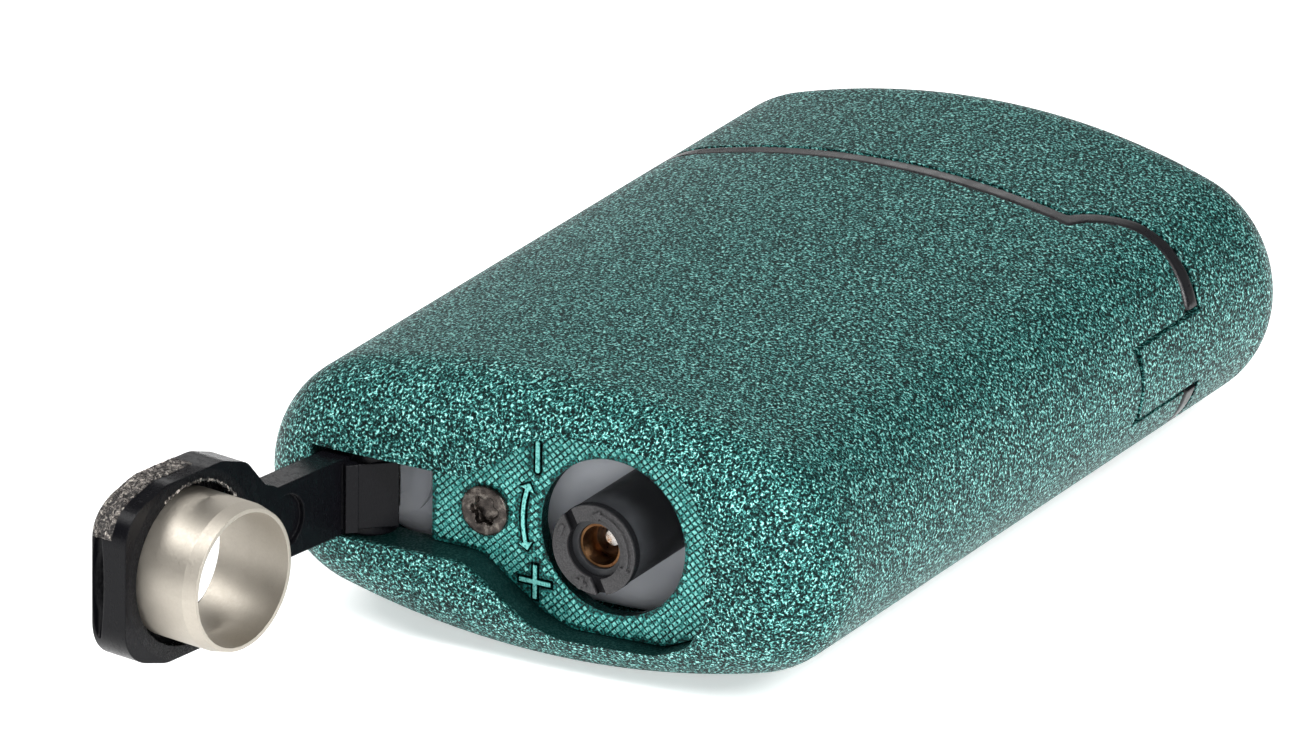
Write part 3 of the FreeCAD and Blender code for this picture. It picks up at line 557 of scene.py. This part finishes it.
def plate_marks(wider_mm):
    """Outlines of the three marks, widened all round."""
    def arrow(wider):
        reach = math.degrees(wider * MM / (6.28 * MM))
        return curved_arrow_outline((ADJUSTER.x, MID_Z), 6.28 * MM, 158.0 - reach, 199.0 + reach,
                                    *to_metres(0.13 + wider, 0.50 + wider, 0.50 + wider))
    return {
        "minus": bar_outline(minus_at, *to_metres(1.05 + wider_mm, 0.15 + wider_mm), math.pi / 2),
        "plus": plus_outline(plus_at, *to_metres(1.10 + wider_mm, 0.14 + wider_mm), 0.0),
        "arrow": arrow(wider_mm),
    }


def prism_between(name, outline, y_front, y_back):
    """Plain object with a prism, used as a cutter."""
    bm = bmesh.new()
    add_prism(bm, outline, y_front, y_back)
    obj = bpy.data.objects.new(name, mesh_of(bm, name))
    bpy.context.scene.collection.objects.link(obj)
    return obj


def plate_with_moats():
    """The base plate with a narrow moat cut round every mark."""
    plate = bpy.data.objects.new("plate_work", NODES["base_plate"].data.copy())
    bpy.context.scene.collection.objects.link(plate)
    cutters = []
    for name, outline in plate_marks(0.16).items():
        cutter = prism_between("moat_" + name, outline, PLATE_FACE_Y - 0.5 * MM,
                               PLATE_FACE_Y + MOAT_DEEP * MM)
        step = plate.modifiers.new(name, "BOOLEAN")
        step.operation = "DIFFERENCE"
        step.solver = "EXACT"
        step.object = cutter
        cutters.append(cutter)
    bpy.context.view_layer.update()
    seen = plate.evaluated_get(bpy.context.evaluated_depsgraph_get())
    mesh = bpy.data.meshes.new_from_object(seen)
    for obj in cutters + [plate]:
        bpy.data.objects.remove(obj)
    mesh.name = "plate_face"
    obj = bpy.data.objects.new("plate_face", mesh)
    bpy.context.scene.collection.objects.link(obj)
    dress(obj, "plate_paint")
    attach(obj, "body")
    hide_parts("base_plate")
    return obj


PAD_PITCH = 0.37 * MM
PAD_HALF = 0.155 * MM
PAD_HIGH = 0.07 * MM
PAD_SUNK = 0.03 * MM
PAD_TOP_SHARE = 0.78
PAD_LOWEST = 0.55
PAD_ROWS = 42  # rows each way from the plate's middle, enough to pass its ends


def on_face(tree, spot):
    """Whether the plate's plain face lies under a spot, and not a moat, a hole or its edge."""
    found, _, _, _ = tree.ray_cast(Vector((spot.x, PLATE_FACE_Y - MM, spot.z)), Vector((0, 1, 0)))
    return found is not None and abs(found.y - PLATE_FACE_Y) < 0.01 * MM


def add_pad(bm, centre, along, across, dice):
    """Low square pad with sloping sides and an uneven top, sunk a little into the plate."""
    foot, top = [], []
    for a, b in ((-1, -1), (1, -1), (1, 1), (-1, 1)):
        corner = centre + (along * a + across * b) * PAD_HALF
        foot.append(bm.verts.new(corner + Vector((0, PAD_SUNK, 0))))
        high = PAD_HIGH * dice.uniform(PAD_LOWEST, 1.0)
        top.append(bm.verts.new(centre.lerp(corner, PAD_TOP_SHARE) - Vector((0, high, 0))))
    for k in range(4):
        j = (k + 1) % 4
        bm.faces.new((foot[k], foot[j], top[j], top[k]))
    bm.faces.new(top)
    bm.faces.new(foot[::-1])


def plate_knurl(plate):
    """Cross-hatching: rows of small pads with narrow grooves between them."""
    tree = ray_tree(plate)
    dice = random.Random(3)
    middle_spot = middle("base_plate")
    middle_spot.y = PLATE_FACE_Y
    turn = math.radians(43.0)
    along = Vector((math.cos(turn), 0.0, math.sin(turn)))
    across = Vector((-along.z, 0.0, along.x))
    bm = bmesh.new()
    for i in range(-PAD_ROWS, PAD_ROWS + 1):
        for j in range(-PAD_ROWS, PAD_ROWS + 1):
            centre = middle_spot + (along * i + across * j) * PAD_PITCH
            corners = [centre + (along * a + across * b) * PAD_HALF
                       for a in (-1, 1) for b in (-1, 1)]
            if all(on_face(tree, spot) for spot in corners):
                add_pad(bm, centre, along, across, dice)
    return new_piece("plate_knurl", mesh_of(bm, "plate_knurl"), "body",
                     "teal_crinkle_paint", "plate_paint")


plate_knurl(plate_with_moats())
for mark_name, mark_outline in plate_marks(0.0).items():
    mark = slab("plate_mark_" + mark_name, mark_outline, PLATE_FACE_Y, MARK_PROUD,
                MOAT_DEEP + 0.05, "body", "teal_crinkle_paint", "plate_paint")
    round_edges(mark, 0.04)

# ---------- raised marks on the adjuster ring ----------

RING_MARK_PROUD = 0.16
MARK_RADIUS = 2.40 * MM


def on_ring(degrees):
    turn = math.radians(degrees)
    return (ADJUSTER.x + MARK_RADIUS * math.cos(turn), MID_Z + MARK_RADIUS * math.sin(turn))


minus_angle, plus_angle = 159.0, 250.0
ring_minus = bar_outline(on_ring(minus_angle), *to_metres(0.42, 0.17),
                         math.radians(minus_angle + 90))
ring_plus = plus_outline(on_ring(plus_angle), *to_metres(0.40, 0.13),
                         math.radians(plus_angle + 90))
ring_arrow = curved_arrow_outline((ADJUSTER.x, MID_Z), 2.35 * MM, -33.0, 92.0,
                                  *to_metres(0.14, 0.55, 0.36))
for name, outline in (("minus", ring_minus), ("plus", ring_plus), ("arrow", ring_arrow)):
    mark = slab("adjuster_mark_" + name, outline, RING_FACE_Y, RING_MARK_PROUD, 0.1,
                "flame_adjuster", "black_plastic", "adjuster_plastic")
    round_edges(mark, 0.03)


# ---------- rough cast skin and burrs on the punch head ----------

TUBE_DIRECTION = TUBE_AXIS if TUBE_AXIS.dot(TUBE_MIDDLE - PIVOT) > 0 else -TUBE_AXIS
TUBE_REACH = ARM_ALONG * ARM_ALONG.dot(TUBE_MIDDLE - PIVOT)
HEAD_CENTRE = Vector((PIVOT.x, PIVOT.y, MID_Z)) + TUBE_REACH

# angles in degrees round the tube, from the arm's direction towards +Z
SKIN_START, SKIN_TURN = 26.0, 78.0
SKIN_BACK, SKIN_WIDE = -2.62, 1.55
SKIN_RIBS = 6
SKIN_BORDER = -0.05 * MM
OUTSIDE_HEAD = 12 * MM
BURR_START, BURR_TURN = 62.0, 190.0
BURR_RADIUS = 5.16 * MM
BURR_WANDER = 0.06 * MM
BURR_FRONT_SHARE = 0.1


def skin_offset(across, dice):
    """Height of the rough skin at a place between its two borders, 0 to 1."""
    if across in (0.0, 1.0):
        return SKIN_BORDER
    rib = 0.5 + 0.5 * math.cos(across * SKIN_RIBS * 2 * math.pi)
    return (0.02 + 0.05 * rib + 0.05 * dice.random()) * MM


def head_edge_skin():
    """Ribbed, torn skin on the upper part of the head's rim."""
    tree = ray_tree(NODES["punch_arm"])
    dice = random.Random(11)
    rows, columns = 25, 90
    bm = bmesh.new()
    grid = []
    for i in range(columns):
        turn = math.radians(SKIN_START + SKIN_TURN * i / (columns - 1))
        out = ARM_ALONG * math.cos(turn) + Vector((0, 0, 1)) * math.sin(turn)
        line = []
        for j in range(rows):
            across = j / (rows - 1)
            depth = TUBE_DIRECTION * (SKIN_BACK + SKIN_WIDE * across) * MM
            start = HEAD_CENTRE + depth + out * OUTSIDE_HEAD
            found, _, _, _ = tree.ray_cast(start, -out)
            ends = i in (0, columns - 1)
            lift = SKIN_BORDER if ends else skin_offset(across, dice)
            line.append(bm.verts.new(found + out * lift))
        grid.append(line)
    for first, second in zip(grid, grid[1:]):
        for j in range(rows - 1):
            bm.faces.new((first[j], first[j + 1], second[j + 1], second[j]))
    return new_piece("head_edge_skin", mesh_of(bm, "head_edge_skin"), "punch",
                     "black_cast", "torn_edge")


def seat_burrs():
    """Broken ring of burrs round the gap between the tube and the head."""
    dice = random.Random(5)
    steps, around = 150, 6
    bm = bmesh.new()
    loops = []
    for i in range(steps):
        turn = math.radians(BURR_START + BURR_TURN * i / (steps - 1))
        out = ARM_ALONG * math.cos(turn) + Vector((0, 0, 1)) * math.sin(turn)
        thick = (0.05 + 0.13 * dice.random() ** 2) * MM
        if i in (0, steps - 1):
            thick = 0.01 * MM
        centre = HEAD_CENTRE + out * (BURR_RADIUS + BURR_WANDER * dice.random())
        loop = []
        for k in range(around):
            roll = 2 * math.pi * k / around
            # nearly flush in front, so that the folded head stays clear of the plate
            proud = math.sin(roll) * (BURR_FRONT_SHARE if math.sin(roll) > 0 else 1.0)
            offset = out * math.cos(roll) + TUBE_DIRECTION * proud
            loop.append(bm.verts.new(centre + offset * thick))
        loops.append(loop)
    add_rope(bm, loops)
    return new_piece("seat_burrs", mesh_of(bm, "seat_burrs"), "punch",
                     "black_cast", "torn_edge")


head_edge_skin()
seat_burrs()

# ---------- coil springs in place of the plain sleeves ----------

def coil(name, node, axis, turns, wire_mm, slot):
    """Round-wire spring that fills a sleeve's box, shown in place of the sleeve."""
    low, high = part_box(node)
    centre = (low + high) / 2
    axis = Vector(axis)
    side = Vector((axis.y, axis.z, axis.x))
    other = axis.cross(side)
    span = high - low
    length = abs(span.dot(axis)) - wire_mm * MM
    radius = abs(span.dot(side)) / 2 - wire_mm * MM / 2
    per_turn, around = 20, 8
    steps = int(turns * per_turn)
    bm = bmesh.new()
    loops = []
    for i in range(steps + 1):
        turn = 2 * math.pi * i / per_turn
        out = side * math.cos(turn) + other * math.sin(turn)
        point = centre + axis * (length * (i / steps - 0.5)) + out * radius
        loop = []
        for k in range(around):
            roll = 2 * math.pi * k / around
            offset = out * math.cos(roll) + axis * math.sin(roll)
            loop.append(bm.verts.new(point + offset * (wire_mm * MM / 2)))
        loops.append(loop)
    add_rope(bm, loops)
    mesh = mesh_of(bm, name)
    for polygon in mesh.polygons:
        polygon.use_smooth = True
    obj = bpy.data.objects.new(name, mesh)
    bpy.context.scene.collection.objects.link(obj)
    dress(obj, slot)
    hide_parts(node)
    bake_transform(obj)
    return obj


coil("igniter_coil", "igniter_spring", (1, 0, 0), 5.0, 0.38, "steel")
coil("refill_coil", "refill_spring", (0, -1, 0), 3.0, 0.20, "steel")


# ---------- floor, light and camera ----------

def aim(obj, at, towards):
    obj.location = at
    obj.rotation_mode = "QUATERNION"
    obj.rotation_quaternion = (Vector(towards) - Vector(at)).to_track_quat("-Z", "Y")


def sky_point(azimuth, elevation, distance):
    """A point round the object. Azimuth 0 is in front of the base."""
    a, e = math.radians(azimuth), math.radians(elevation)
    return Vector((math.sin(a) * math.cos(e), -math.cos(a) * math.cos(e),
                   math.sin(e))) * distance


def softbox(name, azimuth, elevation, distance, width, height, power):
    data = bpy.data.lights.new(name, "AREA")
    data.shape = "RECTANGLE"
    data.size = width
    data.size_y = height
    data.energy = power
    lamp = bpy.data.objects.new(name, data)
    bpy.context.scene.collection.objects.link(lamp)
    aim(lamp, sky_point(azimuth, elevation, distance), (0, 0, MID_Z))
    return lamp


floor_mesh = bpy.data.meshes.new("floor")
FLOOR_HALF = 3.0
floor_mesh.from_pydata(
    [(-FLOOR_HALF, -FLOOR_HALF, 0), (FLOOR_HALF, -FLOOR_HALF, 0),
     (FLOOR_HALF, FLOOR_HALF, 0), (-FLOOR_HALF, FLOOR_HALF, 0)], [], [(0, 1, 2, 3)])
floor_mesh.materials.append(make_floor_look())
floor = bpy.data.objects.new("floor", floor_mesh)
bpy.context.scene.collection.objects.link(floor)
floor.location.z = CAD_BOX[0].z - 0.02 * MM

softbox("front_left_key", -50, 52, 0.60, 0.26, 0.26, 2.4)
softbox("front_fill", 30, 18, 0.80, 0.30, 0.20, 2.4)
softbox("right_key", 65, 38, 0.60, 0.16, 0.22, 4.0)
softbox("overhead", 180, 86, 0.90, 0.32, 0.32, 1.3)
softbox("back_left", -150, 24, 0.80, 0.50, 0.20, 0.6)


def studio_world():
    """White behind the object, and a dim grey room for everything that is lit or mirrored."""
    world = bpy.data.worlds.new("studio")
    world.use_nodes = True
    tree = world.node_tree
    room = tree.nodes["Background"]
    room.inputs["Color"].default_value = (1.0, 1.0, 1.0, 1.0)
    room.inputs["Strength"].default_value = 0.16
    white = tree.nodes.new("ShaderNodeBackground")
    white.inputs["Color"].default_value = (1.0, 1.0, 1.0, 1.0)
    white.inputs["Strength"].default_value = 1.0
    path = tree.nodes.new("ShaderNodeLightPath")
    mix = tree.nodes.new("ShaderNodeMixShader")
    tree.links.new(path.outputs["Is Camera Ray"], mix.inputs[0])
    tree.links.new(room.outputs[0], mix.inputs[1])
    tree.links.new(white.outputs[0], mix.inputs[2])
    tree.links.new(mix.outputs[0], tree.nodes["World Output"].inputs["Surface"])
    return world


bpy.context.scene.world = studio_world()
bpy.context.scene.view_settings.view_transform = "Standard"

CAMERA_AZIMUTH = 29.49
CAMERA_ELEVATION = 21.24
CAMERA_ROLL = 0.67
CAMERA_DISTANCE = 1.0238
CAMERA_LENS = 462.0
CAMERA_TARGET = Vector((-3.57, -0.50, 12.55)) * MM

camera_data = bpy.data.cameras.new("camera")
camera_data.sensor_width = 36.0
camera_data.lens = CAMERA_LENS
camera_data.clip_start = 0.01
camera_data.clip_end = 20.0
camera = bpy.data.objects.new("camera", camera_data)
bpy.context.scene.collection.objects.link(camera)
aim(camera, CAMERA_TARGET + sky_point(CAMERA_AZIMUTH, CAMERA_ELEVATION, CAMERA_DISTANCE),
    CAMERA_TARGET)
roll = Matrix.Rotation(math.radians(CAMERA_ROLL), 3, "Z").to_quaternion()
camera.rotation_quaternion = camera.rotation_quaternion @ roll
bpy.context.scene.camera = camera
